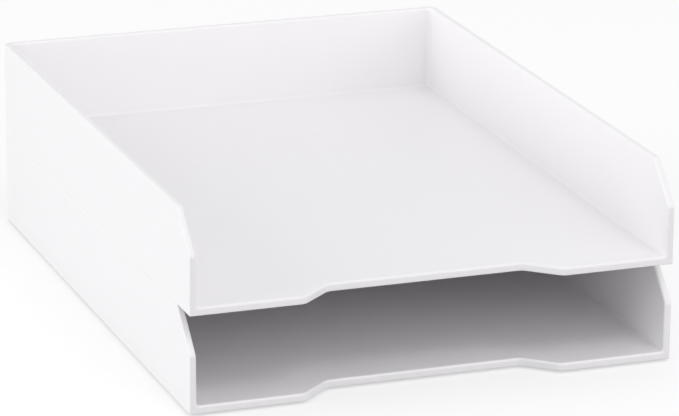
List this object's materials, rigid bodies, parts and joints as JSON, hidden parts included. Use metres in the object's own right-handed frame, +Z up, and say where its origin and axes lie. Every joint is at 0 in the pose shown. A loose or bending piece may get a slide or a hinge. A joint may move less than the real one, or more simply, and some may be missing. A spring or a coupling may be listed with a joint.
{
  "type": "letter tray",
  "caption": "Stackable front-loading letter trays with slanted wall ends and a finger notch in the front edge, one standing on the other.",
  "frame": {"origin": "on the desk plane, under the middle of the stack's footprint", "axes": "+X to the right as seen from the open front, +Y from the open front to the back wall, +Z up"},
  "size_m": [0.2476, 0.3238, 0.0992],
  "materials": {
    "tray_plastic": "white, satin gloss, moulded",
    "foot_rubber": "pale grey, matte"
  },
  "bodies": {
    "lower_stack": {"lower_tray": "tray_plastic", "lower_foot_front_left": "foot_rubber", "lower_foot_front_right": "foot_rubber", "lower_foot_back_left": "foot_rubber", "lower_foot_back_right": "foot_rubber"},
    "upper_stack": {"upper_tray": "tray_plastic", "upper_foot_front_left": "foot_rubber", "upper_foot_front_right": "foot_rubber", "upper_foot_back_left": "foot_rubber", "upper_foot_back_right": "foot_rubber"}
  },
  "joints": [
    {"name": "upper_tray_lift", "type": "slide", "parent": "lower_stack", "child": "upper_stack", "axis": [0, 0, 1], "range_m": [0, 0.1]}
  ]
}
